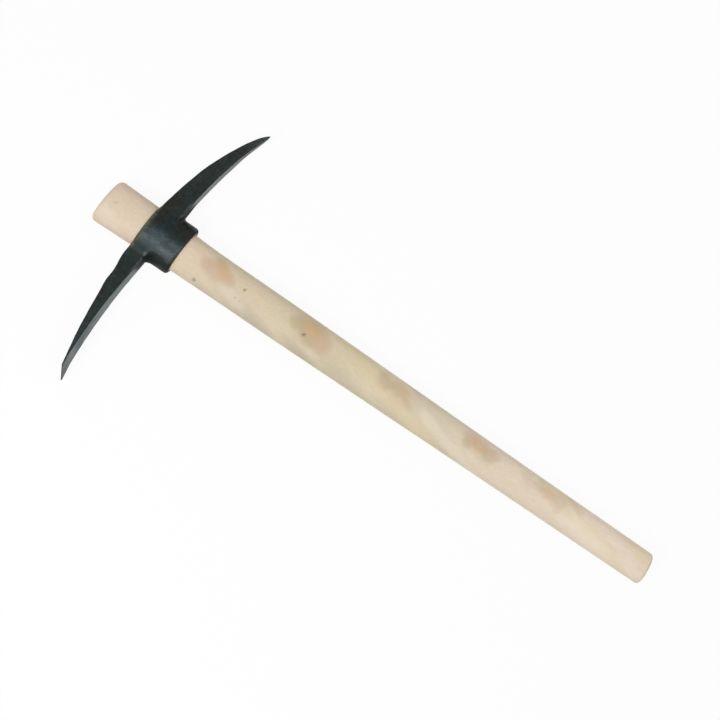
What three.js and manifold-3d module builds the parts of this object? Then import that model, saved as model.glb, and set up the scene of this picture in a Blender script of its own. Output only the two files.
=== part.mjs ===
// A pickaxe lying on its side: a one-piece forged head on a tapered oval handle.
// Millimetres. X runs along the handle from its head end to its butt, the pointed arm reaches to +Y,
// the chisel arm to -Y, and Z is the depth of the tool as it lies.
import * as THREE from "three";
import { mergeVertices } from "three/addons/utils/BufferGeometryUtils.js";
import Module from "manifold-3d";

const wasm = await Module();
wasm.setup();

// Handle: its width across the tool and its depth at seven stations from the head end
const handleLength = 900;
const crownStation = 67.7;
const rimStation = 128.5;
const neckStation = 160;
const bellyStation = 300;
const gripStation = 620;
const endWidth = 67.4;
const crownWidth = 64.1;
const rimWidth = 59.9;
const neckWidth = 58.4;
const bellyWidth = 56.8;
const gripWidth = 50.4;
const buttWidth = 46;
const endDepth = 46;
const crownDepth = 44;
const rimDepth = 41.5;
const neckDepth = 40.4;
const bellyDepth = 39;
const gripDepth = 36.8;
const buttDepth = 36;
const endDrift = 1.4;
const handleFullness = 2.15;
const endRounding = 7;
const buttRounding = 5;
const endSlant = THREE.MathUtils.degToRad(5.5);
const buttSlant = THREE.MathUtils.degToRad(-4.5);
const slantLength = 50;

// Eye and collar of the head
const fitGap = 0.3;
const headTilt = THREE.MathUtils.degToRad(2.8);
const eyeCentre = 1;
const collarWidth = 77.5;
const collarDepth = 54.5;
const cheekDepth = 54;
const collarFullness = 2.05;
const crownProud = 0.7;
const crownEdge = 3;
const rimEdge = 4.5;
const rimDraw = 0.6;
const cutterOverrun = 12;

// Pointed arm: reach from the handle's middle line, fall of the tip below the crown, height at the root
const pointReach = 200.5;
const pointFall = 69.9;
const pointRootHeight = 32.3;
const pointDepth = 36.4;
const pointReachShares = [0.06, 0.15, 0.235, 0.317, 0.439, 0.561, 0.686, 0.808, 0.898, 0.973, 1];
const pointFallShares = [0.24, 0.262, 0.294, 0.329, 0.4, 0.485, 0.598, 0.723, 0.84, 0.953, 1];
const pointHeightShares = [1.035, 1.006, 0.956, 0.885, 0.815, 0.73, 0.602, 0.459, 0.353, 0.183, 0.04];
const pointDepthShares = [1, 1, 1, 0.96, 0.91, 0.905, 0.825, 0.605, 0.43, 0.2, 0.03];

// Chisel arm: an adze-like blade that thins in the tool's plane while it widens in depth
const chiselReach = 242;
const chiselFall = 18.9;
const chiselRootHeight = 26.3;
const chiselDepth = 49;
const chiselReachShares = [0.05, 0.12, 0.2, 0.3, 0.36, 0.43, 0.53, 0.66, 0.8, 0.9, 0.94, 1];
const chiselFallShares = [0.72, 0.575, 0.482, 0.467, 0.396, 0.395, 0.422, 0.488, 0.633, 0.777, 0.838, 0.926];
const chiselHeightShares = [1.07, 1.02, 0.99, 0.793, 0.777, 0.667, 0.518, 0.369, 0.178, 0.074, 0.08, 0.08];
const chiselDepthShares = [0.79, 0.79, 0.8, 0.89, 0.905, 0.94, 0.985, 1, 1, 1, 1, 1];
const wornLength = 24.5;
const wornDepthShare = 0.96;

// Where both arms grow out of the cheeks
const rootBlend = 8;
const rootSunk = 0.5;
const pointRootFillet = 5;
const chiselRootFillet = 8.5;
const armCorner = 4.2;
const cornerHeightShare = 0.42;

// Fineness of the facets
const ovalSides = 48;
const cornerSteps = 4;
const roundingSteps = 4;
const undersideSteps = 6;
const filletSteps = 8;
const handleSteps = 26;
const armSteps = 34;

const woodMaterial = new THREE.MeshStandardMaterial({ color: 0xd9c9ae, roughness: 0.62, metalness: 0 });
const forgedMaterial = new THREE.MeshStandardMaterial({ color: 0x343b3a, roughness: 0.5, metalness: 0.75 });

// A smooth law through hand-picked stations, read at any place between them
function makeLaw(stations, values) {
  const interpolant = new THREE.CubicInterpolant(stations, values, 1);
  return (place) => interpolant.evaluate(place)[0];
}

const scaled = (shares, size) => shares.map((share) => share * size);

// Skins a row of rings that all have the same number of points, and caps both ends flat
function loft(rings) {
  const sides = rings[0].length;
  const positions = rings.flat().flatMap((point) => point.toArray());
  const triangles = [];
  for (let ring = 0; ring + 1 < rings.length; ring += 1) {
    for (let side = 0; side < sides; side += 1) {
      const here = ring * sides + side;
      const beside = ring * sides + ((side + 1) % sides);
      triangles.push(here, beside, beside + sides, here, beside + sides, here + sides);
    }
  }
  const ends = [rings[0], rings[rings.length - 1]];
  ends.forEach((ring, end) => {
    const middle = ring.reduce((sum, point) => sum.add(point), new THREE.Vector3()).divideScalar(sides);
    const hub = positions.length / 3;
    positions.push(...middle.toArray());
    const first = end === 0 ? 0 : (rings.length - 1) * sides;
    for (let side = 0; side < sides; side += 1) {
      const here = first + side;
      const beside = first + ((side + 1) % sides);
      triangles.push(...(end === 0 ? [hub, beside, here] : [hub, here, beside]));
    }
  });
  const geometry = new THREE.BufferGeometry();
  geometry.setAttribute("position", new THREE.Float32BufferAttribute(positions, 3));
  geometry.setIndex(triangles);
  return geometry;
}

function toSolid(geometry) {
  const merged = mergeVertices(geometry);
  const mesh = new wasm.Mesh({
    numProp: 3,
    vertProperties: new Float32Array(merged.getAttribute("position").array),
    triVerts: new Uint32Array(merged.getIndex().array),
  });
  return new wasm.Manifold(mesh);
}

function toGeometry(solid) {
  const mesh = solid.getMesh();
  const geometry = new THREE.BufferGeometry();
  geometry.setAttribute("position", new THREE.BufferAttribute(mesh.vertProperties, 3));
  geometry.setIndex(new THREE.BufferAttribute(mesh.triVerts, 1));
  return geometry;
}

// One point of an oval that is fuller than an ellipse, with half sizes across and deep
function ovalPoint(angle, halfAcross, halfDeep, fullness) {
  const along = Math.cos(angle);
  const over = Math.sin(angle);
  const power = 2 / fullness;
  return [
    halfAcross * Math.sign(along) * Math.abs(along) ** power,
    halfDeep * Math.sign(over) * Math.abs(over) ** power,
  ];
}

const handleStations = [0, crownStation, rimStation, neckStation, bellyStation, gripStation, handleLength];
const handleWidths = [endWidth, crownWidth, rimWidth, neckWidth, bellyWidth, gripWidth, buttWidth];
const handleDepths = [endDepth, crownDepth, rimDepth, neckDepth, bellyDepth, gripDepth, buttDepth];
const widthAt = makeLaw(handleStations, handleWidths);
const depthAt = makeLaw(handleStations, handleDepths);

// The handle's middle line moves over a little between its neck and the crown
function driftAt(station) {
  const share = (neckStation - station) / (neckStation - crownStation);
  return endDrift * THREE.MathUtils.clamp(share, 0, 1);
}

// How far a cut end's slant still tilts the section at a station
function slantAt(station) {
  const fromEnd = Math.max(0, 1 - station / slantLength);
  const fromButt = Math.max(0, 1 - (handleLength - station) / slantLength);
  return Math.tan(endSlant) * fromEnd + Math.tan(buttSlant) * fromButt;
}

// The handle's section at a station, grown outwards by a clearance or drawn in by an edge's rounding
function handleRing(station, growth) {
  const halfAcross = widthAt(station) / 2 + growth;
  const halfDeep = depthAt(station) / 2 + growth;
  const points = [];
  for (let side = 0; side < ovalSides; side += 1) {
    const angle = (side / ovalSides) * Math.PI * 2;
    const [across, deep] = ovalPoint(angle, halfAcross, halfDeep, handleFullness);
    const lean = slantAt(station) * across;
    points.push(new THREE.Vector3(station + lean, driftAt(station) + across, deep));
  }
  return points;
}

function makeHandle() {
  const rings = [];
  for (let step = 0; step <= roundingSteps; step += 1) {
    const turn = (step / roundingSteps) * (Math.PI / 2);
    rings.push(handleRing(endRounding * (1 - Math.cos(turn)), endRounding * (Math.sin(turn) - 1)));
  }
  const places = [slantLength, crownStation, rimStation, neckStation];
  const gripStart = neckStation;
  const gripEnd = handleLength - slantLength;
  for (let step = 1; step <= handleSteps; step += 1) {
    places.push(gripStart + ((gripEnd - gripStart) * step) / handleSteps);
  }
  places.forEach((place) => rings.push(handleRing(place, 0)));
  for (let step = roundingSteps; step >= 0; step -= 1) {
    const turn = (step / roundingSteps) * (Math.PI / 2);
    const station = handleLength - buttRounding * (1 - Math.cos(turn));
    rings.push(handleRing(station, buttRounding * (Math.sin(turn) - 1)));
  }
  return loft(rings);
}

// The eye follows the handle's own taper with the fit's gap, so the head jams where it sits
function makeEyeCutter() {
  const stations = [crownStation - cutterOverrun, crownStation, rimStation, rimStation + cutterOverrun];
  return toSolid(loft(stations.map((station) => handleRing(station, fitGap))));
}

// The collar round the eye: an oval, flattened where the cheeks lie, with rounded crown and rim edges,
// and drawn in a little at its sides towards the rim
function collarRing(station, rounding, draw) {
  const points = [];
  for (let side = 0; side < ovalSides; side += 1) {
    const angle = (side / ovalSides) * Math.PI * 2;
    const [across, deep] = ovalPoint(angle, collarWidth / 2, collarDepth / 2, collarFullness);
    const flat = THREE.MathUtils.clamp(deep, -cheekDepth / 2, cheekDepth / 2);
    const shrink = 1 - (rounding + draw) / (collarWidth / 2);
    const shrinkDeep = 1 - rounding / (collarDepth / 2);
    const lean = Math.tan(headTilt) * across;
    points.push(new THREE.Vector3(station + lean, eyeCentre + across * shrink, flat * shrinkDeep));
  }
  return points;
}

function makeCollar() {
  const rings = [];
  const crownTop = crownStation - crownProud;
  for (let step = 0; step <= roundingSteps; step += 1) {
    const turn = (step / roundingSteps) * (Math.PI / 2);
    const station = crownTop + crownEdge * (1 - Math.cos(turn));
    rings.push(collarRing(station, crownEdge * (1 - Math.sin(turn)), 0));
  }
  for (let step = roundingSteps; step >= 0; step -= 1) {
    const turn = (step / roundingSteps) * (Math.PI / 2);
    const station = rimStation - rimEdge * (1 - Math.cos(turn));
    rings.push(collarRing(station, rimEdge * (1 - Math.sin(turn)), rimDraw));
  }
  return toSolid(loft(rings));
}

// Half the collar's depth at a distance from the eye's middle
function cheekAt(away) {
  const share = Math.min(away / (collarWidth / 2), 1) ** collarFullness;
  return Math.min((collarDepth / 2) * (1 - share) ** (1 / collarFullness), cheekDepth / 2);
}

// Half the collar's width at a depth
function wallAt(deep) {
  const share = Math.min(Math.abs(deep) / (collarDepth / 2), 1) ** collarFullness;
  return (collarWidth / 2) * (1 - share) ** (1 / collarFullness);
}

// The arms swell out of the collar's own oval, just under its surface, and blend into their own depth
function swollenDepth(away, halfDepth) {
  const cheek = cheekAt(away) - rootSunk;
  const closeness = Math.max(1 - Math.abs(cheek - halfDepth) / rootBlend, 0);
  return Math.max(cheek, halfDepth) + (rootBlend * closeness ** 2) / 4;
}

// The round corner under an arm, rolled along the collar's oval: how far it pushes the underside down
function filletAt(away, deep, radius) {
  const gap = THREE.MathUtils.clamp(away - wallAt(deep), 0, radius);
  return radius - Math.sqrt(radius ** 2 - (radius - gap) ** 2);
}

// An arm's section at a reach: a rounded oblong, with the root fillet on its underside
function armRing(arm, reach, crown, underside, nearSide, farSide) {
  const halfHeight = (underside - crown) / 2;
  const halfDeep = (nearSide - farSide) / 2;
  const corner = Math.min(armCorner, halfHeight * 2 * cornerHeightShare, halfDeep * 2 * cornerHeightShare);
  const outline = [];
  const signs = [[1, 1], [-1, 1], [-1, -1], [1, -1]];
  signs.forEach(([heightSign, deepSign], quarter) => {
    for (let step = 0; step <= cornerSteps; step += 1) {
      const turn = (quarter + step / cornerSteps) * (Math.PI / 2);
      const height = heightSign * (halfHeight - corner) + corner * Math.cos(turn);
      const deep = deepSign * (halfDeep - corner) + corner * Math.sin(turn);
      outline.push([height, deep, heightSign > 0]);
    }
  });
  for (let step = 1; step < undersideSteps; step += 1) {
    outline.push([halfHeight, (halfDeep - corner) * ((2 * step) / undersideSteps - 1), true]);
  }
  const middle = new THREE.Vector3((crown + underside) / 2, arm.direction * reach, (nearSide + farSide) / 2);
  const away = reach - arm.direction * eyeCentre;
  const points = outline.map(([height, deep, isUnder]) => {
    const fillet = isUnder ? filletAt(away, deep + middle.z, arm.rootFillet) : 0;
    return new THREE.Vector3(height + fillet, 0, deep).add(middle);
  });
  return arm.direction > 0 ? points.reverse() : points;
}

// The reaches at which an arm has a section: even steps, and closer ones through its root fillet
function armPlaces(arm, start) {
  const places = [];
  for (let step = 0; step <= armSteps; step += 1) {
    places.push(start + ((arm.reach - start) * step) / armSteps);
  }
  const lean = arm.direction * eyeCentre;
  const near = wallAt(arm.depth / 2) + lean;
  const far = collarWidth / 2 + lean + arm.rootFillet;
  for (let step = 0; step <= filletSteps; step += 1) {
    places.push(near + ((far - near) * step) / filletSteps);
  }
  return places.sort((one, other) => one - other);
}

// An arm follows four laws along its reach: its fall, its height, its depth and the wear of its near side
function makeArm(arm) {
  const reaches = scaled(arm.reachShares, arm.reach);
  const fallAt = makeLaw(reaches, scaled(arm.fallShares, arm.fall));
  const heightAt = makeLaw(reaches, scaled(arm.heightShares, arm.rootHeight));
  const deepAt = makeLaw(reaches, scaled(arm.depthShares, arm.depth));
  const rings = armPlaces(arm, reaches[0]).map((reach) => {
    const middle = crownStation + fallAt(reach);
    const halfHeight = heightAt(reach) / 2;
    const halfDeep = swollenDepth(reach - arm.direction * eyeCentre, deepAt(reach) / 2);
    const nearSide = halfDeep - arm.wearAt(reach);
    return armRing(arm, reach, middle - halfHeight, middle + halfHeight, nearSide, -halfDeep);
  });
  return toSolid(loft(rings));
}

function makePointArm() {
  return makeArm({
    direction: 1,
    reach: pointReach,
    fall: pointFall,
    rootHeight: pointRootHeight,
    depth: pointDepth,
    reachShares: pointReachShares,
    fallShares: pointFallShares,
    heightShares: pointHeightShares,
    depthShares: pointDepthShares,
    rootFillet: pointRootFillet,
    wearAt: () => 0,
  });
}

// Use has worn the chisel's near corner away on a slant
function chiselWear(reach) {
  const share = Math.max(0, 1 - (chiselReach - reach) / wornLength);
  return wornDepthShare * chiselDepth * share;
}

function makeChiselArm() {
  return makeArm({
    direction: -1,
    reach: chiselReach,
    fall: chiselFall,
    rootHeight: chiselRootHeight,
    depth: chiselDepth,
    reachShares: chiselReachShares,
    fallShares: chiselFallShares,
    heightShares: chiselHeightShares,
    depthShares: chiselDepthShares,
    rootFillet: chiselRootFillet,
    wearAt: chiselWear,
  });
}

function makeHead() {
  const forging = makeCollar().add(makePointArm()).add(makeChiselArm());
  return toGeometry(forging.subtract(makeEyeCutter()));
}

const tool = new THREE.Group();

const handle = new THREE.Mesh(makeHandle(), woodMaterial);
handle.name = "handle";
tool.add(handle);

const pickHead = new THREE.Mesh(makeHead(), forgedMaterial);
pickHead.name = "pick_head";
tool.add(pickHead);

// The origin is under the middle of the tool, on the surface that it lies on
const bounds = new THREE.Box3().setFromObject(tool);
const middle = bounds.getCenter(new THREE.Vector3());
tool.position.set(-middle.x, -middle.y, -bounds.min.z);

const pickaxe = new THREE.Group();
pickaxe.add(tool);

export default pickaxe;
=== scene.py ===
"""Looks of the pickaxe: a black forged head jammed on a pale tapered wooden handle.

The classes hold their sizes in millimetres, in the tool's own frame: X runs along the handle from
its head end to its butt, Y to the pointed arm, and Z is the depth of the tool as it lies. Meshes are
written in metres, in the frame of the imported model.
"""

import logging
import math
from collections.abc import Sequence
from dataclasses import dataclass, field
from enum import Enum
from functools import reduce

import bpy
import numpy as np
from mathutils import Euler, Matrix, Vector, noise


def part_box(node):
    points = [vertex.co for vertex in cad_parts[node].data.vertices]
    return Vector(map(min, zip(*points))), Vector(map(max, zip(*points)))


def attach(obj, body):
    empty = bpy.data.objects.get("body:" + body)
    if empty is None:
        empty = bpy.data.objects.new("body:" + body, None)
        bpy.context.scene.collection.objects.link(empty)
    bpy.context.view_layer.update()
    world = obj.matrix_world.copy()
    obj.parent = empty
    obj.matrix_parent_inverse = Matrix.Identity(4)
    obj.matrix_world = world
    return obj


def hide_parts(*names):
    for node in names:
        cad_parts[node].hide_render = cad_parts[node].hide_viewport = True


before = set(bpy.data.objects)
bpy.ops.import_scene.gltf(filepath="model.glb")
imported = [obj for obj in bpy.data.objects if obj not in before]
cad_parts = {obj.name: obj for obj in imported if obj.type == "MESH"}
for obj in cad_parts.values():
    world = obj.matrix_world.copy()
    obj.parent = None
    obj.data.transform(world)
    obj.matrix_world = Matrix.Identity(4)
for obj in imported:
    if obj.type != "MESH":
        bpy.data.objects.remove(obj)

LOG = logging.getLogger("pickaxe")

MM = 0.001
TOOL_SHIFT = np.array((-449.42285, 20.75, 27.0))
WHITE = (1.0, 1.0, 1.0, 1.0)
FULL_TURN = 2 * math.pi
ALONG_AND_ACROSS = (1.0, 1.0, 0.0)

Colour = tuple[float, float, float, float]
Triple = tuple[float, float, float]
Span = tuple[float, float]
Socket = bpy.types.NodeSocket
Feed = float | int | bool | tuple | bpy.types.NodeSocket | bpy.types.Material


class Body(Enum):
    """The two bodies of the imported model."""

    HANDLE = "handle"
    HEAD = "head"


class Slot(Enum):
    """The record's material slots."""

    STEEL = "forged_steel"
    WOOD = "ash_wood"


def tone(red: int, green: int, blue: int) -> Colour:
    """Turn a colour as a screen shows it into the linear colour that a shader takes.

    Args:
        red: Red, 0 to 255.
        green: Green, 0 to 255.
        blue: Blue, 0 to 255.

    Returns:
        The linear colour, with an alpha of 1.
    """
    linear = [
        part / 255 / 12.92 if part <= 10 else ((part / 255 + 0.055) / 1.055) ** 2.4
        for part in (red, green, blue)
    ]
    return (linear[0], linear[1], linear[2], 1.0)


def smooth_step(run: Span, places: np.ndarray) -> np.ndarray:
    """Go smoothly from 0 at a span's start to 1 at its end.

    Args:
        run: The span; its end may be below its start.
        places: The places to read it at.

    Returns:
        The share at each place.
    """
    share = np.clip((places - run[0]) / (run[1] - run[0]), 0.0, 1.0)
    return share * share * (3.0 - 2.0 * share)


def band(rise: Span, fall: Span, places: np.ndarray) -> np.ndarray:
    """Rise smoothly over one span and fall over another, which is written from far to near."""
    return smooth_step(rise, places) * smooth_step(fall, places)


def quarter_inset(radius: float, depth: np.ndarray) -> np.ndarray:
    """Tell how far a rounded edge draws in at a depth below its flat end.

    Args:
        radius: The edge's radius.
        depth: Distances from the flat end.

    Returns:
        The inset at each depth, nothing beyond the radius.
    """
    left = np.clip(radius - depth, 0.0, radius)
    return radius - np.sqrt(radius**2 - left**2)


@dataclass(frozen=True)
class Law:
    """A smooth rule through stations, the one that the solids follow."""

    stations: tuple[float, ...]
    values: tuple[float, ...]

    def __call__(self, places: np.ndarray | float) -> np.ndarray:
        """Read the rule between its stations.

        Args:
            places: Where to read it; beyond the ends it keeps the end's value.

        Returns:
            The rule's values at those places.
        """
        at = np.asarray(self.stations, float)
        value = np.asarray(self.values, float)
        place = np.clip(np.asarray(places, float), at[0], at[-1])
        after = np.clip(np.searchsorted(at, place, side="right"), 1, len(at) - 1)
        before = after - 1
        far_before = np.where(before >= 1, before - 1, after)
        far_after = np.where(after + 1 < len(at), after + 1, before).clip(0, len(at) - 1)
        half = (at[after] - at[before]) / 2
        pull = half / (at[before] - at[far_before])
        push = half / (at[far_after] - at[after])
        share = (place - at[before]) / (at[after] - at[before])
        square, cube = share**2, share**3
        return (
            (-pull * cube + 2 * pull * square - pull * share) * value[far_before]
            + ((1 + pull) * cube + (-1.5 - 2 * pull) * square + (pull - 0.5) * share + 1) * value[before]
            + ((-1 - push) * cube + (1.5 + push) * square + 0.5 * share) * value[after]
            + (push * cube - push * square) * value[far_after]
        )


class Bench:
    """Sets nodes into a tree and joins them, for materials and geometry alike."""

    def __init__(self, tree: bpy.types.NodeTree) -> None:
        """Take a tree to work on.

        Args:
            tree: The node tree.
        """
        self.tree = tree

    def feed(self, socket: Socket, value: Feed) -> None:
        """Give an input its value, or join it to another node's output.

        Args:
            socket: The input.
            value: A plain value or an output.
        """
        if isinstance(value, Socket):
            self.tree.links.new(value, socket)
        else:
            socket.default_value = value

    def add(
        self, kind: str, feeds: dict[str | int, Feed] | None = None, **settings: object
    ) -> bpy.types.Node:
        """Add one node.

        Args:
            kind: The node's type.
            feeds: Its inputs by name or number.
            settings: Its properties.

        Returns:
            The node.
        """
        node = self.tree.nodes.new(kind)
        for name, value in settings.items():
            setattr(node, name, value)
        for key, value in (feeds or {}).items():
            self.feed(node.inputs[key], value)
        return node

    def sum(self, operation: str, *values: Feed, clamp: bool = False) -> Socket:
        """Work out one sum.

        Args:
            operation: The Math node's operation.
            values: Its inputs in order.
            clamp: Whether the result is kept between 0 and 1.

        Returns:
            The result.
        """
        node = self.add("ShaderNodeMath", dict(enumerate(values)), operation=operation)
        node.use_clamp = clamp
        return node.outputs[0]

    def plus(self, *values: Feed) -> Socket:
        """Add values up."""
        return reduce(lambda first, second: self.sum("ADD", first, second), values)

    def minus(self, first: Feed, second: Feed) -> Socket:
        """Take the second value from the first."""
        return self.sum("SUBTRACT", first, second)

    def times(self, *values: Feed) -> Socket:
        """Multiply values."""
        return reduce(lambda first, second: self.sum("MULTIPLY", first, second), values)

    def share(self, part: Feed, whole: Feed) -> Socket:
        """Divide a part by the whole, and keep the share between 0 and 1."""
        return self.sum("DIVIDE", part, whole, clamp=True)

    def vector(self, operation: str, *values: Feed) -> Socket:
        """Work out one vector from others.

        Args:
            operation: The Vector Math node's operation.
            values: Its inputs in order.

        Returns:
            The resulting vector.
        """
        return self.add("ShaderNodeVectorMath", dict(enumerate(values)), operation=operation).outputs[0]

    def parts(self, place: Feed) -> bpy.types.NodeOutputs:
        """Take a vector apart into its three numbers."""
        return self.add("ShaderNodeSeparateXYZ", {0: place}).outputs

    def note(self, name: str) -> Socket:
        """Read a number that was noted on the mesh."""
        return self.add("ShaderNodeAttribute", attribute_name=name).outputs["Fac"]

    def blend(self, share: Feed, first: Feed, second: Feed, mode: str = "MIX") -> Socket:
        """Blend two colours.

        Args:
            share: How much of the second.
            first: The first colour.
            second: The second colour.
            mode: The blend type.

        Returns:
            The blended colour.
        """
        feeds: dict[str | int, Feed] = {0: share, 6: first, 7: second}
        node = self.add("ShaderNodeMix", feeds, data_type="RGBA", blend_type=mode)
        return node.outputs[2]

    def dim(self, colour: Feed, filter_tone: Feed) -> Socket:
        """Darken a colour as a filter of another colour does."""
        return self.blend(1.0, colour, filter_tone, "MULTIPLY")

    def ramp(
        self, share: Feed, stops: Sequence[tuple[float, Colour]], easing: str = "LINEAR"
    ) -> Socket:
        """Turn a share into a colour by a ramp.

        Args:
            share: The ramp's input.
            stops: Places and colours.
            easing: How the ramp runs between its stops.

        Returns:
            The colour.
        """
        node = self.add("ShaderNodeValToRGB", {0: share})
        node.color_ramp.interpolation = easing
        marks = node.color_ramp.elements
        while len(marks) < len(stops):
            marks.new(0.5)
        for mark, (place, colour) in zip(marks, stops):
            mark.position = place
            mark.color = colour
        return node.outputs[0]

    def span(self, value: Feed, run: Span, to: Span = (0.0, 1.0)) -> Socket:
        """Carry a span of values smoothly over to another span.

        Args:
            value: The value to carry over.
            run: The span that it runs through.
            to: What the span's start and end become.

        Returns:
            The value in the new span.
        """
        feeds: dict[str | int, Feed] = {0: value, 1: run[0], 2: run[1], 3: to[0], 4: to[1]}
        return self.add("ShaderNodeMapRange", feeds, interpolation_type="SMOOTHSTEP").outputs[0]

    def speckle(
        self, place: Feed, scale: float = 1.0, detail: float = 3.0, rough: float = 0.5, warp: float = 0.0
    ) -> Socket:
        """Read soft noise at a place.

        Args:
            place: The place's vector.
            scale: Noise cells for each unit of the place.
            detail: Octaves.
            rough: How strong the finer octaves are.
            warp: How much the noise distorts itself.

        Returns:
            The noise, about 0.5 on average.
        """
        feeds: dict[str | int, Feed] = {
            "Vector": place, "Scale": scale, "Detail": detail, "Roughness": rough, "Distortion": warp,
        }
        return self.add("ShaderNodeTexNoise", feeds).outputs[0]

    def place_mm(self, turn: Triple = (0.0, 0.0, 0.0)) -> Socket:
        """Give the surface's place in the tool's own frame, in millimetres.

        Args:
            turn: A turn about the tool's axes, in radians.

        Returns:
            The place's vector.
        """
        feeds: dict[str | int, Feed] = {
            "Vector": self.add("ShaderNodeTexCoord").outputs["Object"],
            "Location": tuple(float(part) for part in -TOOL_SHIFT),
            "Rotation": turn,
            "Scale": (1 / MM, 1 / MM, 1 / MM),
        }
        return self.add("ShaderNodeMapping", feeds).outputs[0]

    def away(self, place: Feed, middle: Triple, oval: Triple, turn: float = 0.0) -> Socket:
        """Measure how far a place is from an oval's middle, 1 at its edge.

        Args:
            place: The place.
            middle: The oval's middle.
            oval: Its half sizes.
            turn: How it is turned.

        Returns:
            The distance in half sizes.
        """
        feeds: dict[str | int, Feed] = {
            "Vector": place, "Location": middle, "Rotation": (0.0, 0.0, turn), "Scale": oval,
        }
        local = self.add("ShaderNodeMapping", feeds, vector_type="TEXTURE").outputs[0]
        return self.add("ShaderNodeVectorMath", {0: local}, operation="LENGTH").outputs["Value"]

    def relief(self, shader: bpy.types.Node, height: Feed, strength: float, rise: float) -> None:
        """Give a shader the bumps of a height.

        Args:
            shader: The shader.
            height: The height, about 0 to 1.
            strength: How strong the bumps are.
            rise: How high a height of 1 stands, in millimetres.
        """
        feeds: dict[str | int, Feed] = {"Height": height, "Strength": strength, "Distance": rise * MM}
        self.feed(shader.inputs["Normal"], self.add("ShaderNodeBump", feeds).outputs[0])


def new_finish(name: str) -> tuple[bpy.types.Material, Bench, bpy.types.Node]:
    """Start a material with one shader.

    Args:
        name: The material's name.

    Returns:
        The material, its bench and its shader.
    """
    finish = bpy.data.materials.new(name)
    finish.use_nodes = True
    finish.node_tree.nodes.clear()
    bench = Bench(finish.node_tree)
    shader = bench.add("ShaderNodeBsdfPrincipled")
    bench.add("ShaderNodeOutputMaterial", {"Surface": shader.outputs[0]})
    return finish, bench, shader


class Tint(Enum):
    """The tints of the handle's stains, of the painted shade along its sides and of the painted light that
    lifts them.
    """

    BROWN = tone(190, 167, 136)
    ROSE = tone(203, 174, 148)
    GREEN = tone(184, 173, 134)
    OCHRE = tone(201, 173, 128)
    ORANGE = tone(207, 171, 133)
    # Painted shade, mostly along the handle's -Y side.
    SHADE_GREY = tone(164, 157, 136)
    YELLOW = tone(222, 205, 160)
    # Painted light, lifting the handle's sides where they turn from the light.
    LIGHT_PALE = tone(243, 230, 209)


@dataclass(frozen=True)
class Lobe:
    """One soft oval of a stain, of painted shade or of painted light on the handle."""

    station: float
    across: float
    half_length: float
    half_width: float
    tint: Tint
    strength: float


@dataclass(frozen=True)
class Speck:
    """A small dark knot on the handle."""

    station: float
    across: float
    radius: float
    strength: float


@dataclass(frozen=True)
class Grain:
    """The wood's year rings, fibres and pores, in millimetres and shares."""

    turn: Triple = (0.0, math.radians(0.9), math.radians(-1.3))
    sway_scale: Triple = (0.006, 0.02, 0.02)
    sway: float = 14.0
    heart_across: float = 46.0
    heart_under: float = 88.0
    year: float = 2.9
    late_rise: Span = (0.45, 0.93)
    late_fall: Span = (1.0, 0.94)
    fibre_scale: Triple = (0.045, 1.5, 1.5)
    pore_scale: Triple = (0.16, 4.2, 4.2)
    pore_run: Span = (0.62, 0.74)
    early_run: Span = (0.1, 0.5)
    early_share: Span = (1.0, 0.25)

    def draw(self, bench: Bench) -> tuple[Socket, Socket, Socket]:
        """Draw the year rings round a heart outside the handle, its fibres and its pores.

        Args:
            bench: The material's bench.

        Returns:
            The rings, the fibres and the pores, each 0 to 1.
        """
        tilted = bench.place_mm(self.turn)
        sway = bench.speckle(bench.vector("MULTIPLY", tilted, self.sway_scale), detail=2.0)
        axes = bench.parts(tilted)
        over = bench.sum("POWER", bench.plus(axes[1], self.heart_across), 2.0)
        under = bench.sum("POWER", bench.plus(axes[2], self.heart_under), 2.0)
        radius = bench.plus(bench.sum("SQRT", bench.plus(over, under)), bench.times(sway, self.sway))
        year = bench.sum("FRACT", bench.sum("DIVIDE", radius, self.year))
        late = bench.times(bench.span(year, self.late_rise), bench.span(year, self.late_fall))
        fibres = bench.speckle(bench.vector("MULTIPLY", tilted, self.fibre_scale), detail=5.0, rough=0.62)
        cells = bench.speckle(bench.vector("MULTIPLY", tilted, self.pore_scale), detail=1.0)
        early = bench.span(year, self.early_run, self.early_share)
        return late, fibres, bench.times(bench.span(cells, self.pore_run), early)


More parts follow.
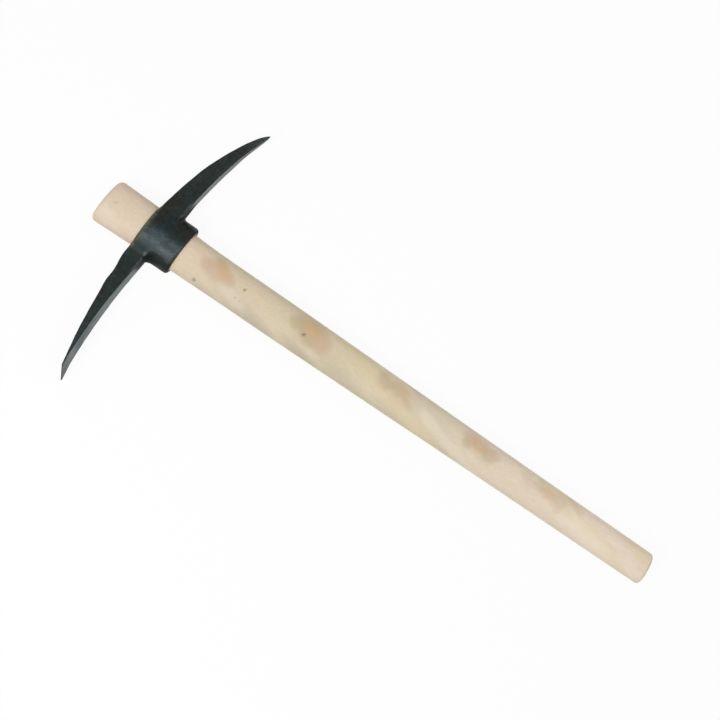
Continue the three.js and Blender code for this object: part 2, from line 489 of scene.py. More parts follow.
@dataclass(frozen=True)
class WoodFinish:
    """Bare, dry and pale hardwood, sanded smooth and handled a little."""

    length: float = 900.0
    tones: tuple[tuple[float, Colour], ...] = (
        (0.0, tone(222, 202, 180)),
        (0.07, tone(224, 206, 184)),
        (0.17, tone(222, 205, 179)),
        (0.28, tone(214, 200, 172)),
        (0.5, tone(218, 205, 179)),
        (0.62, tone(223, 210, 187)),
        (0.75, tone(229, 214, 193)),
        (0.92, tone(240, 223, 207)),
        (1.0, tone(235, 218, 197)),
    )
    grain: Grain = Grain()
    ring_share: float = 0.1
    fibre_tone: Colour = tone(249, 246, 240)
    fibre_run: Span = (0.42, 0.72)
    pore_share: float = 0.1
    rose: Colour = tone(235, 211, 196)
    rose_run: Span = (0.5, 0.72)
    rose_share: float = 0.22
    straw: Colour = tone(213, 203, 168)
    straw_run: Span = (0.5, 0.3)
    straw_share: float = 0.18
    cloud_scale: Triple = (0.013, 0.03, 0.03)
    fleck_tone: Colour = tone(249, 248, 245)
    fleck_scale: Triple = (0.14, 0.46, 0.46)
    fleck_run: Span = (0.36, 0.64)
    sawn_tone: Colour = tone(222, 206, 186)
    sawn_scale: Triple = (0.2, 0.25, 2.4)
    speck_tone: Colour = tone(112, 97, 72)
    speck_turn: float = 0.6
    speck_long: float = 1.3
    speck_ragged: float = 0.35
    speck_scale: float = 0.8
    speck_run: Span = (0.3, 0.7)
    dull_scale: Triple = (0.012, 0.08, 0.08)
    dull_run: Span = (0.3, 0.7)
    roughness: Span = (0.5, 0.68)
    gloss: float = 0.35
    ring_rise: float = 0.25
    fibre_rise: float = 0.55
    pore_sink: float = 0.6
    saw_rise: float = 1.4
    relief_strength: float = 0.35
    relief_depth: float = 0.15
    upper_run: Span = (-2.0, 8.0)
    ragged: float = 13.0
    ragged_scale: float = 0.06
    lean: float = math.radians(-18)
    lobe_edge: Span = (1.3, 0.35)
    speck_edge: Span = (1.1, 0.2)
    lobes: tuple[Lobe, ...] = (
        # The grey lobes are painted shade, mostly along the -Y side, and the pale ones painted light on the
        # sides; the rest are stains and tone.
        Lobe(265, -29, 110, 16, Tint.SHADE_GREY, 0.38),
        Lobe(350, -29, 52, 13, Tint.SHADE_GREY, 0.4),
        Lobe(430, -29, 120, 16, Tint.SHADE_GREY, 0.24),
        Lobe(500, -28, 48, 13, Tint.SHADE_GREY, 0.26),
        Lobe(600, -28, 60, 12, Tint.SHADE_GREY, 0.2),
        Lobe(186, -29, 24, 11, Tint.SHADE_GREY, 0.26),
        Lobe(255, -9, 22, 12, Tint.SHADE_GREY, 0.13),
        Lobe(530, -3, 84, 24, Tint.SHADE_GREY, 0.12),
        Lobe(450, 8, 430, 15, Tint.YELLOW, 0.38),
        Lobe(775, 9, 190, 11, Tint.YELLOW, 0.4),
        Lobe(12, -17, 34, 14, Tint.LIGHT_PALE, 0.25),
        Lobe(219, -12, 32, 11, Tint.LIGHT_PALE, 0.3),
        Lobe(344, -11, 22, 9, Tint.LIGHT_PALE, 0.2),
        Lobe(830, -20, 140, 16, Tint.LIGHT_PALE, 0.46),
        Lobe(888, -18, 34, 12, Tint.LIGHT_PALE, 0.4),
        Lobe(884, 13, 54, 12, Tint.YELLOW, 0.36),
        Lobe(826, -9, 22, 9, Tint.LIGHT_PALE, 0.3),
        Lobe(450, 29, 430, 9, Tint.LIGHT_PALE, 0.36),
        Lobe(620, 2, 15, 9, Tint.BROWN, 0.2),
        Lobe(484, -3, 14, 12, Tint.ROSE, 0.18),
        Lobe(168, 8, 14, 10, Tint.ROSE, 0.75),
        Lobe(189, 10, 21, 14, Tint.ROSE, 0.8),
        Lobe(184, 3, 20, 12, Tint.ROSE, 0.34),
        Lobe(204, 3, 12, 9, Tint.ROSE, 0.6),
        Lobe(182, 16, 10, 6, Tint.OCHRE, 0.6),
        Lobe(194, 11, 11, 8, Tint.OCHRE, 0.6),
        Lobe(314, 11, 13, 11, Tint.GREEN, 0.55),
        Lobe(337, 8, 31, 20, Tint.BROWN, 0.85),
        Lobe(334, 13, 14, 8, Tint.ORANGE, 0.95),
        Lobe(343, 18, 10, 6, Tint.OCHRE, 0.6),
        Lobe(358, 6, 16, 14, Tint.ROSE, 0.75),
        Lobe(459, 12, 17, 12, Tint.BROWN, 0.62),
        Lobe(480, 13, 16, 12, Tint.BROWN, 0.56),
        Lobe(507, 9, 18, 12, Tint.BROWN, 0.34),
        Lobe(489, 12, 13, 9, Tint.OCHRE, 0.5),
        Lobe(497, 3, 10, 7, Tint.ROSE, 0.45),
        Lobe(598, 12, 14, 10, Tint.ROSE, 0.65),
        Lobe(597, 4, 10, 8, Tint.GREEN, 0.5),
        Lobe(613, 12, 16, 9, Tint.ORANGE, 0.75),
        Lobe(631, 8, 14, 11, Tint.BROWN, 0.6),
        Lobe(638, 14, 11, 7, Tint.ROSE, 0.5),
        Lobe(696, 11, 14, 10, Tint.BROWN, 0.24),
        Lobe(712, 13, 10, 9, Tint.GREEN, 0.4),
        Lobe(760, 5, 16, 9, Tint.BROWN, 0.2),
        Lobe(729, 10, 16, 10, Tint.ORANGE, 0.62),
        Lobe(746, 12, 14, 9, Tint.BROWN, 0.36),
        Lobe(748, 0, 10, 7, Tint.ROSE, 0.35),
        Lobe(768, 17, 20, 6, Tint.BROWN, 0.24),
    )
    specks: tuple[Speck, ...] = (
        Speck(163.9, -21.5, 3.0, 0.62),
        Speck(229.4, 6.3, 2.5, 0.68),
        Speck(330.4, 1.7, 2.7, 0.95),
        Speck(224.5, -9.4, 2.4, 0.24),
        Speck(231.4, -9.8, 2.2, 0.2),
        Speck(18.2, 6.0, 3.4, 0.17),
        Speck(15.3, -3.4, 2.8, 0.12),
    )

    def build(self) -> bpy.types.Material:
        """Make the wood's material.

        Returns:
            The material.
        """
        finish, bench, shader = new_finish("pale dry hardwood")
        place = bench.place_mm()
        axes = bench.parts(place)
        rings, fibres, pores = self.grain.draw(bench)
        colour = bench.ramp(bench.sum("DIVIDE", axes[0], self.length), self.tones, "B_SPLINE")
        colour = self._clouds(bench, place, colour)
        flecks = bench.speckle(bench.vector("MULTIPLY", place, self.fleck_scale), rough=0.62)
        flecked = bench.dim(colour, self.fleck_tone)
        colour = bench.blend(bench.span(flecks, self.fleck_run), colour, flecked)
        colour = bench.blend(bench.times(rings, self.ring_share), colour, self.straw)
        fibrous = bench.dim(colour, self.fibre_tone)
        colour = bench.blend(bench.span(fibres, self.fibre_run), colour, fibrous)
        colour = bench.blend(bench.times(pores, self.pore_share), colour, self.speck_tone)
        colour = self._patches(bench, place, bench.span(axes[2], self.upper_run), colour)
        end = bench.note("end_grain")
        colour = bench.blend(end, colour, bench.dim(colour, self.sawn_tone))
        bench.feed(shader.inputs["Base Color"], colour)
        dullness = bench.speckle(bench.vector("MULTIPLY", place, self.dull_scale), detail=2.0)
        bench.feed(shader.inputs["Roughness"], bench.span(dullness, self.dull_run, self.roughness))
        shader.inputs["Specular IOR Level"].default_value = self.gloss
        saw = bench.speckle(bench.vector("MULTIPLY", place, self.sawn_scale), rough=0.6)
        raised = bench.plus(bench.times(rings, self.ring_rise), bench.times(fibres, self.fibre_rise))
        sunk = bench.minus(raised, bench.times(pores, self.pore_sink))
        height = bench.plus(sunk, bench.times(saw, end, self.saw_rise))
        bench.relief(shader, height, self.relief_strength, self.relief_depth)
        return finish

    def _clouds(self, bench: Bench, place: Feed, colour: Feed) -> Socket:
        """Let rosy and straw clouds drift through the wood.

        Args:
            bench: The material's bench.
            place: The surface's place.
            colour: The wood so far.

        Returns:
            The clouded colour.
        """
        drift = bench.speckle(bench.vector("MULTIPLY", place, self.cloud_scale), rough=0.55, warp=0.4)
        colour = bench.blend(bench.span(drift, self.rose_run, (0.0, self.rose_share)), colour, self.rose)
        return bench.blend(bench.span(drift, self.straw_run, (0.0, self.straw_share)), colour, self.straw)

    def _patches(self, bench: Bench, place: Feed, upper: Feed, colour: Feed) -> Socket:
        """Lay the stains, the painted shade and light, and the small knots on the handle's upper side.

        Args:
            bench: The material's bench.
            place: The surface's place.
            upper: 1 on the upper side.
            colour: The wood so far.

        Returns:
            The patched colour.
        """
        feeds: dict[str | int, Feed] = {
            "Vector": place, "Scale": self.ragged_scale, "Detail": 4.0, "Roughness": 0.6,
        }
        cells = bench.add("ShaderNodeTexNoise", feeds).outputs[1]
        middle = bench.vector("SUBTRACT", cells, (0.5, 0.5, 0.5))
        wander = bench.vector("MULTIPLY", middle, (self.ragged, self.ragged, 0.0))
        flat = bench.vector("MULTIPLY", place, ALONG_AND_ACROSS)
        warped = bench.vector("ADD", flat, wander)
        for lobe in self.lobes:
            oval = (lobe.half_length, lobe.half_width, 1.0)
            away = bench.away(warped, (lobe.station, lobe.across, 0.0), oval, self.lean)
            soft = bench.times(bench.span(away, self.lobe_edge, (0.0, lobe.strength)), upper)
            colour = bench.blend(soft, colour, lobe.tint.value)
        frays = (-self.speck_ragged, self.speck_ragged)
        for speck in self.specks:
            oval = (speck.radius * self.speck_long, speck.radius, 1.0)
            away = bench.away(flat, (speck.station, speck.across, 0.0), oval, self.speck_turn)
            fray = bench.span(bench.speckle(place, self.speck_scale), self.speck_run, frays)
            frayed = bench.plus(away, fray)
            dot = bench.times(bench.span(frayed, self.speck_edge, (0.0, speck.strength)), upper)
            colour = bench.blend(dot, colour, self.speck_tone)
        return colour


@dataclass(frozen=True)
class ForgedFinish:
    """Forged steel under a thin black coat, half matt, worn at its edges and rusty at the rim, with painted
    shade in its hollows, painted highlights and a painted reflection of the wood.
    """

    coat: Colour = tone(34, 39, 35)
    blue: Colour = tone(29, 41, 41)
    blue_run: Span = (0.49, 0.66)
    brown: Colour = tone(40, 37, 31)
    brown_run: Span = (0.5, 0.34)
    tint_slope: float = 0.0005
    dust: Colour = tone(43, 49, 45)
    dust_run: Span = (30.0, 150.0)
    tint_share: Span = (0.0, 0.9)
    shade_stops: tuple[tuple[float, Colour], ...] = ((0.32, tone(178, 178, 178)), (0.68, WHITE))
    grit_stops: tuple[tuple[float, Colour], ...] = (
        (0.38, (0.72, 0.72, 0.72, 1.0)), (0.5, WHITE), (0.62, (1.35, 1.35, 1.35, 1.0)),
    )
    # Painted highlight on the cheeks, laid as a pale rubbed coat.
    milky_highlight: Colour = tone(73, 85, 88)
    streak_scale: Triple = (0.07, 0.2, 0.1)
    streak_run: Span = (0.36, 0.62)
    streak_share: Span = (0.42, 1.0)
    teal: Colour = tone(22, 54, 55)
    teal_share: float = 0.85
    # Painted shade: a near-black laid where shade falls, in the recesses, on the flanks and on the inner
    # faces.
    painted_shade: Colour = tone(6, 5, 5)
    painted_shade_share: float = 0.9
    # Painted glint at the corner of the recess by the chisel's root.
    corner_glint_tone: Colour = tone(86, 99, 94)
    glint_place: Triple = (89.4, -29.7, 0.0)
    glint_oval: Triple = (2.4, 3.6, 1.0)
    glint_edge: Span = (1.4, 0.1)
    glint_share: Span = (0.0, 0.9)
    glint_depths: Span = (8.0, 14.0)
    glint_run: Span = (0.3, 0.55)
    glint_broken: Span = (0.35, 1.0)
    # Worn coat on the edges and tips, also used for the painted highlight on the roots' inner edges.
    rubbed_and_lit: Colour = tone(86, 90, 92)
    wear_and_highlight_share: float = 0.86
    rust: Colour = tone(74, 44, 34)
    # Painted reflection of the wooden handle along the crown's edge.
    wood_reflection: Colour = tone(97, 92, 62)
    wood_reflection_share: Span = (0.45, 1.0)
    patch_run: Span = (0.36, 0.6)
    broad_scale: float = 0.036
    fine_scale: float = 0.16
    crust_scale: float = 0.55
    bare_scale: float = 0.3
    dull_run: Span = (0.5, 1.0)
    roughness: Span = (0.24, 0.38)
    root_dullness: float = 0.12
    shade_dullness: float = 0.4
    rust_dullness: float = 0.25
    gloss: float = 0.16
    gloss_tint: Colour = (0.84, 0.97, 0.98, 1.0)
    fine_rise: float = 0.9
    crust_rise: float = 0.5
    relief_strength: float = 0.6
    relief_depth: float = 0.45

    def build(self) -> bpy.types.Material:
        """Make the coated steel's material.

        Returns:
            The material.
        """
        finish, bench, shader = new_finish("black forge coat")
        place = bench.place_mm()
        broad = bench.speckle(place, self.broad_scale, detail=4.0, rough=0.6, warp=0.5)
        fine = bench.speckle(place, self.fine_scale, detail=4.0, rough=0.6)
        scale = bench.speckle(place, self.crust_scale, detail=5.0, rough=0.65)
        # Painted shade in the recesses, on the steep flanks and on the inner faces.
        painted_shade = bench.note("painted_flank_shade")
        rusty = bench.times(bench.note("rim_rust"), bench.span(scale, self.patch_run))
        colour = self._coat(bench, place, broad, fine, scale)
        colour = bench.blend(bench.times(painted_shade, self.painted_shade_share), colour, self.painted_shade)
        # Painted glint at the recess corner.
        colour = bench.blend(self._corner_glint(bench, place, scale), colour, self.corner_glint_tone)
        bared = bench.span(bench.speckle(place, self.bare_scale, 4.0, 0.7), self.patch_run)
        # Worn edges and tips, with the painted highlight along the roots' inner edges.
        worn = bench.times(bench.note("edge_wear_and_highlight"), bared, self.wear_and_highlight_share)
        colour = bench.blend(worn, colour, self.rubbed_and_lit)
        colour = bench.blend(rusty, colour, self.rust)
        # Painted reflection of the wood along the crown's edge.
        reflected_wood = bench.times(bench.note("crown_wood_reflection"), bench.span(fine, self.patch_run, self.wood_reflection_share))
        bench.feed(shader.inputs["Base Color"], bench.blend(reflected_wood, colour, self.wood_reflection))
        crust = bench.times(scale, self.crust_rise)
        dullness = bench.plus(
            bench.span(bench.plus(crust, broad), self.dull_run, self.roughness),
            bench.times(bench.note("root_scale"), self.root_dullness),
            bench.times(painted_shade, self.shade_dullness),
            bench.times(rusty, self.rust_dullness),
        )
        bench.feed(shader.inputs["Roughness"], dullness)
        shader.inputs["Specular IOR Level"].default_value = self.gloss
        shader.inputs["Specular Tint"].default_value = self.gloss_tint
        height = bench.plus(bench.times(fine, self.fine_rise), crust)
        bench.relief(shader, height, self.relief_strength, self.relief_depth)
        return finish

    def _coat(self, bench: Bench, place: Feed, broad: Feed, fine: Feed, scale: Feed) -> Socket:
        """Mix the coat's own colour, with its tints, dust, grit and the pale rub and painted highlight of
        the cheeks.

        Args:
            bench: The material's bench.
            place: The surface's place.
            broad: Noise of a few centimetres.
            fine: Noise of several millimetres.
            scale: Noise of a millimetre or two.

        Returns:
            The colour.
        """
        side = bench.parts(place)[1]
        # The blue and brown tints follow broad noise, pushed bluer towards the chisel's side, where the
        # light falls: random tone with some painted light.
        lit = bench.minus(broad, bench.times(side, self.tint_slope))
        colour = bench.blend(bench.span(lit, self.blue_run), self.coat, self.blue)
        colour = bench.blend(bench.span(lit, self.brown_run, self.tint_share), colour, self.brown)
        colour = bench.blend(bench.span(side, self.dust_run, self.tint_share), colour, self.dust)
        colour = bench.dim(colour, bench.ramp(fine, self.shade_stops))
        colour = bench.dim(colour, bench.ramp(scale, self.grit_stops))
        streaks = bench.speckle(bench.vector("MULTIPLY", place, self.streak_scale), 1.0, 4.0, 0.62, 0.9)
        streaky = bench.span(streaks, self.streak_run, self.streak_share)
        # Painted highlight on the cheeks, streaked like a rubbed coat.
        hazy_highlight = bench.times(bench.note("cheek_rub_and_highlight"), streaky)
        colour = bench.blend(hazy_highlight, colour, self.milky_highlight)
        return bench.blend(bench.times(bench.note("cool_face"), self.teal_share), colour, self.teal)

    def _corner_glint(self, bench: Bench, place: Feed, scale: Feed) -> Socket:
        """Find the painted glint at the corner of the recess by the chisel's root, broken up by the scale.

        Args:
            bench: The material's bench.
            place: The surface's place.
            scale: Noise of a millimetre or two.

        Returns:
            How much of it shows.
        """
        flat = bench.vector("MULTIPLY", place, ALONG_AND_ACROSS)
        away = bench.away(flat, self.glint_place, self.glint_oval)
        near = bench.span(away, self.glint_edge, self.glint_share)
        above = bench.span(bench.parts(place)[2], self.glint_depths)
        return bench.times(near, above, bench.span(scale, self.glint_run, self.glint_broken))


@dataclass(frozen=True)
class FloorFinish:
    """A plain white sheet that still shows the object's soft shadow."""

    sheet: Colour = (0.86, 0.86, 0.86, 1.0)
    glow_share: float = 0.93
    roughness: float = 0.9

    def build(self) -> bpy.types.Material:
        """Make the floor's material.

        Returns:
            The material.
        """
        finish, bench, shader = new_finish("white studio floor")
        shader.inputs["Base Color"].default_value = self.sheet
        shader.inputs["Roughness"].default_value = self.roughness
        shader.inputs["Specular IOR Level"].default_value = 0.0
        glow = bench.add("ShaderNodeEmission", {"Color": WHITE, "Strength": 1.0}).outputs[0]
        share = bench.times(seen_as_background(bench), self.glow_share)
        mixed = bench.add("ShaderNodeMixShader", {0: share, 1: shader.outputs[0], 2: glow}).outputs[0]
        output = next(node for node in finish.node_tree.nodes if node.type == "OUTPUT_MATERIAL")
        bench.feed(output.inputs["Surface"], mixed)
        return finish


def seen_as_background(bench: Bench) -> Socket:
    """Tell the rays that see a background: the camera's, and those off gloss and through glass.

    Args:
        bench: The bench of a floor's or the world's nodes.

    Returns:
        1 for such a ray, otherwise 0.
    """
    rays = bench.add("ShaderNodeLightPath").outputs
    mirrored = bench.sum("MAXIMUM", rays["Is Glossy Ray"], rays["Is Transmission Ray"])
    return bench.sum("MAXIMUM", rays["Is Camera Ray"], mirrored)


def plain_mesh(holder: bpy.types.Object, name: str) -> bpy.types.Mesh:
    """Turn an object's live modifiers into a plain mesh, and take the object away.

    Args:
        holder: The object.
        name: The new mesh's name.

    Returns:
        The mesh, with the modifiers' result in it.
    """
    depsgraph = bpy.context.evaluated_depsgraph_get()
    mesh = bpy.data.meshes.new_from_object(holder.evaluated_get(depsgraph), depsgraph=depsgraph)
    holder.modifiers.clear()
    discard(holder)
    mesh.name = name
    return mesh


def show(name: str, mesh: bpy.types.Mesh) -> bpy.types.Object:
    """Put a mesh into the scene, at the origin.

    Args:
        name: The object's name.
        mesh: Its mesh.

    Returns:
        The object.
    """
    piece = bpy.data.objects.new(name, mesh)
    bpy.context.scene.collection.objects.link(piece)
    return piece


def discard(holder: bpy.types.Object) -> None:
    """Take a helper object and its mesh away.

    Args:
        holder: The object.
    """
    mesh = holder.data
    bpy.data.objects.remove(holder, do_unlink=True)
    bpy.data.meshes.remove(mesh)


def loft(rings: Sequence[np.ndarray], name: str) -> bpy.types.Object:
    """Skin a row of rings, close both ends and show the result.

    Args:
        rings: Rings in order, each with the same number of points in millimetres.
        name: The object's name.

    Returns:
        The closed solid.
    """
    sides = len(rings[0])
    hubs = np.array((rings[0].mean(0), rings[-1].mean(0)))
    points = (np.vstack([*rings, hubs]) + TOOL_SHIFT) * MM
    around = np.arange(sides)
    beside = (around + 1) % sides
    faces: list[tuple[int, ...]] = []
    for first in range(0, (len(rings) - 1) * sides, sides):
        quads = np.stack((around, beside, beside + sides, around + sides), 1) + first
        faces.extend(map(tuple, quads.tolist()))
    last = (len(rings) - 1) * sides
    hub = len(rings) * sides
    faces.extend((hub, int(b), int(a)) for a, b in zip(around, beside))
    faces.extend((hub + 1, int(a) + last, int(b) + last) for a, b in zip(around, beside))
    mesh = bpy.data.meshes.new(name)
    mesh.from_pydata(points.tolist(), [], faces)
    mesh.update()
    return show(name, mesh)


def oval(sides: int, half_across: float, half_deep: float, fullness: float) -> np.ndarray:
    """Give points of an oval that is fuller than an ellipse.

    Args:
        sides: How many points it has.
        half_across: Half its width.
        half_deep: Half its depth.
        fullness: 2 is an ellipse, and more is fuller.

    Returns:
        The points' places across and deep.
    """
    angles = np.linspace(0.0, FULL_TURN, sides, endpoint=False)
    along, over = np.cos(angles), np.sin(angles)
    across = half_across * np.sign(along) * np.abs(along) ** (2 / fullness)
    deep = half_deep * np.sign(over) * np.abs(over) ** (2 / fullness)
    return np.stack((across, deep), -1)


@dataclass
class Handle:
    """The tapered oval handle, thickest at its head end."""

    length: float = 900.0
    crown_station: float = 67.7
    neck_station: float = 160.0
    stations: tuple[float, ...] = (0.0, 67.7, 128.5, 160.0, 300.0, 620.0, 900.0)
    widths: tuple[float, ...] = (67.4, 64.1, 59.9, 58.4, 56.8, 50.4, 46.0)
    depths: tuple[float, ...] = (46.0, 44.0, 41.5, 40.4, 39.0, 36.8, 36.0)
    drift: float = 1.4
    fullness: float = 2.15
    end_rounding: float = 7.0
    butt_rounding: float = 5.0
    end_slant: float = math.radians(5.5)
    butt_slant: float = math.radians(-4.5)
    slant_length: float = 50.0
    rings: int = 430
    sides: int = 121
    cap_share: float = 0.03
    unevenness: float = 0.3
    wave_scale: Triple = (14.0, 1.6, 1.6)
    wave_seed: float = 4.0
    free_end: Span = (52.0, 40.0)
    free_grip: Span = (136.0, 170.0)
    sampled: int = 25
    weld: float = 0.002
    sawn_below: float = 0.999
    width: Law = field(init=False)
    depth: Law = field(init=False)

    def __post_init__(self) -> None:
        """Set up the laws of its width and depth."""
        self.width = Law(self.stations, self.widths)
        self.depth = Law(self.stations, self.depths)

    def middle(self, station: np.ndarray | float) -> np.ndarray:
        """Tell how far the middle line has drifted over.

        Args:
            station: Places along the handle.

        Returns:
            The drift at each.
        """
        share = (self.neck_station - np.asarray(station)) / (self.neck_station - self.crown_station)
        return self.drift * np.clip(share, 0.0, 1.0)

    def ring(self, station: float, growth: float, sides: int) -> np.ndarray:
        """Give the handle's own section at a station, away from its slanted ends.

        Args:
            station: The place along the handle.
            growth: How far the section is grown outwards.
            sides: How many points it has.

        Returns:
            The section's points in millimetres.
        """
        half_across = self.width(station) / 2 + growth
        half_deep = self.depth(station) / 2 + growth
        flat = oval(sides, half_across, half_deep, self.fullness)
        return np.stack((np.full(sides, station), self.middle(station) + flat[:, 0], flat[:, 1]), -1)

    def make(self, finish: bpy.types.Material) -> bpy.types.Object:
        """Turn the handle by its rule and make it a plain piece.

        Args:
            finish: The wood.

        Returns:
            The handle.
        """
        tree = bpy.data.node_groups.new("turned handle", "GeometryNodeTree")
        corner, low, high = (
            tuple(float(part) for part in place) for place in (TOOL_SHIFT * MM, *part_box("handle"))
        )
        sizes: dict[str, tuple[str, Feed]] = {
            "Rings": ("Int", self.rings),
            "Sides": ("Int", self.sides),
            "Length": ("Float", self.length * MM),
            "Largest width": ("Float", max(self.widths) * MM),
            "Largest depth": ("Float", max(self.depths) * MM),
            "Fullness": ("Float", self.fullness),
            "End rounding": ("Float", self.end_rounding * MM),
            "Butt rounding": ("Float", self.butt_rounding * MM),
            "End slant": ("Float", math.tan(self.end_slant)),
            "Butt slant": ("Float", math.tan(self.butt_slant)),
            "Slant length": ("Float", self.slant_length * MM),
            "Drift": ("Float", self.drift * MM),
            "Neck": ("Float", self.neck_station * MM),
            "Crown": ("Float", self.crown_station * MM),
            "Unevenness": ("Float", self.unevenness * MM),
            "Seed": ("Float", self.wave_seed),
            "Corner": ("Vector", corner),
            "Lowest": ("Vector", low),
            "Highest": ("Vector", high),
            "Wood": ("Material", finish),
        }
        for name, (kind, _) in sizes.items():
            tree.interface.new_socket(name, in_out="INPUT", socket_type=f"NodeSocket{kind}")
        tree.interface.new_socket("Geometry", in_out="OUTPUT", socket_type="NodeSocketGeometry")
        self._wire(Bench(tree))
        holder = show("handle blank", bpy.data.meshes.new("handle blank"))
        turning = holder.modifiers.new("turning", "NODES")
        turning.node_group = tree
        for item in tree.interface.items_tree:
            if item.in_out == "INPUT":
                turning[item.identifier] = sizes[item.name][1]
        return show("wooden_handle", plain_mesh(holder, "wooden_handle"))

    def _wire(self, bench: Bench) -> None:
        """Wire the rule that shapes a flat grid into the handle.

        Args:
            bench: The bench of the geometry tree.
        """
        size = bench.add("NodeGroupInput").outputs
        grid = bench.add(
            "GeometryNodeMeshGrid",
            {"Size X": 1.0, "Size Y": 1.0, "Vertices X": size["Rings"], "Vertices Y": size["Sides"]},
        )
        flat = bench.parts(bench.add("GeometryNodeInputPosition").outputs[0])
        share = bench.plus(flat[0], 0.5)
        angle = bench.times(bench.plus(flat[1], 0.5), FULL_TURN)
        swings = (bench.sum("COSINE", angle), bench.sum("SINE", angle))
        opened = bench.share(share, self.cap_share)
        radial = bench.sum("MINIMUM", opened, bench.share(bench.minus(1.0, share), self.cap_share))
        travel = bench.share(bench.minus(share, self.cap_share), 1 - 2 * self.cap_share)
        spaced = bench.times(bench.minus(1.0, bench.sum("COSINE", bench.times(travel, math.pi))), 0.5)
        station = bench.times(spaced, size["Length"])
        to_butt = bench.minus(size["Length"], station)
        place = bench.add("ShaderNodeCombineXYZ", {0: station, 1: swings[0], 2: swings[1]}).outputs[0]
        inset = bench.plus(
            self._inset(bench, size["End rounding"], station),
            self._inset(bench, size["Butt rounding"], to_butt),
            self._worked(bench, place, station, size),
        )
        halves = (
            self._half(bench, spaced, self.width, size["Largest width"], inset),
            self._half(bench, spaced, self.depth, size["Largest depth"], inset),
        )
        across, deep = (
            self._bow(bench, swing, half, radial, size["Fullness"]) for swing, half in zip(swings, halves)
        )
        end_share, butt_share = (
            bench.sum("SUBTRACT", 1.0, bench.sum("DIVIDE", run, size["Slant length"]), clamp=True)
            for run in (station, to_butt)
        )
        end_slant = bench.times(end_share, size["End slant"])
        slant = bench.plus(end_slant, bench.times(butt_share, size["Butt slant"]))
        along = bench.plus(station, bench.times(slant, across))
        past_neck, neck_run = (bench.minus(size["Neck"], spot) for spot in (station, size["Crown"]))
        drift = bench.times(bench.share(past_neck, neck_run), size["Drift"])
        drifted = bench.plus(drift, across)
        shaped = bench.add("ShaderNodeCombineXYZ", {0: along, 1: drifted, 2: deep}).outputs[0]
        raised = bench.vector("MAXIMUM", bench.vector("ADD", shaped, size["Corner"]), size["Lowest"])
        kept = bench.vector("MINIMUM", raised, size["Highest"])
        body = bench.add("GeometryNodeSetPosition", {"Geometry": grid.outputs[0], "Position": kept})
        sawn = bench.sum("LESS_THAN", radial, self.sawn_below)
        self._finish_mesh(bench, body, sawn, size["Wood"])

    def _finish_mesh(self, bench: Bench, body: bpy.types.Node, sawn: Feed, wood: Feed) -> None:
        """Note the sawn ends, weld the seam and the poles, and give the mesh its wood.

        Args:
            bench: The tree's bench.
            body: The node that gives the shaped grid.
            sawn: 1 on the sawn ends.
            wood: The material.
        """
        noted = bench.add(
            "GeometryNodeStoreNamedAttribute",
            {"Geometry": body.outputs[0], "Name": "end_grain", "Value": sawn},
            data_type="FLOAT", domain="POINT",
        )
        steps: tuple[tuple[str, dict[str | int, Feed]], ...] = (
            ("GeometryNodeMergeByDistance", {"Distance": self.weld * MM}),
            ("GeometryNodeSetShadeSmooth", {}),
            ("GeometryNodeRealizeInstances", {}),
            ("GeometryNodeSetMaterial", {"Material": wood}),
        )
        made = noted.outputs[0]
        for kind, feeds in steps:
            made = bench.add(kind, {"Geometry": made, **feeds}).outputs[0]
        bench.add("NodeGroupOutput", {"Geometry": made})

    def _inset(self, bench: Bench, radius: Feed, depth: Feed) -> Socket:
        """Draw a section in where an end's edge is rounded.

        Args:
            bench: The tree's bench.
            radius: The rounding.
            depth: The distance from the sawn end.

        Returns:
            The inset.
        """
        left = bench.sum("MAXIMUM", bench.minus(radius, depth), 0.0)
        square = bench.minus(bench.times(radius, radius), bench.times(left, left))
        return bench.minus(radius, bench.sum("SQRT", bench.sum("MAXIMUM", square, 0.0)))

    def _worked(self, bench: Bench, place: Feed, station: Feed, size: bpy.types.NodeInputs) -> Socket:
        """Leave the faint flats of the drawknife, but not where the head sits.

        Args:
            bench: The tree's bench.
            place: A place that runs round and along the handle.
            station: The place along it.
            size: The tree's inputs.

        Returns:
            How far the surface lies under its rule.
        """
        feeds: dict[str | int, Feed] = {
            "Vector": bench.vector("MULTIPLY", place, self.wave_scale),
            "W": size["Seed"], "Scale": 1.0, "Detail": 2.0,
        }
        waves = bench.add("ShaderNodeTexNoise", feeds, noise_dimensions="4D").outputs[0]
        free = bench.plus(*(
            bench.span(station, (run[0] * MM, run[1] * MM)) for run in (self.free_end, self.free_grip)
        ))
        return bench.times(waves, size["Unevenness"], free)

    def _half(self, bench: Bench, spaced: Feed, law: Law, largest: Feed, inset: Feed) -> Socket:
        """Read half a width or depth from its law.

        Args:
            bench: The tree's bench.
            spaced: The share of the handle's length.
            law: The law of the width or depth.
            largest: Its largest value.
            inset: How far the section is drawn in.

        Returns:
            The half size there.
        """
        node = bench.add("ShaderNodeFloatCurve", {"Value": spaced})
        marks = node.mapping.curves[0].points
        shares = np.linspace(0.0, 1.0, self.sampled)
        heights = law(shares * self.length) / max(law.values)
        marks[0].location = (0.0, float(heights[0]))
        marks[1].location = (1.0, float(heights[-1]))
        for share, height in zip(shares[1:-1], heights[1:-1]):
            marks.new(float(share), float(height))
        node.mapping.update()
        return bench.minus(bench.times(node.outputs[0], largest, 0.5), inset)

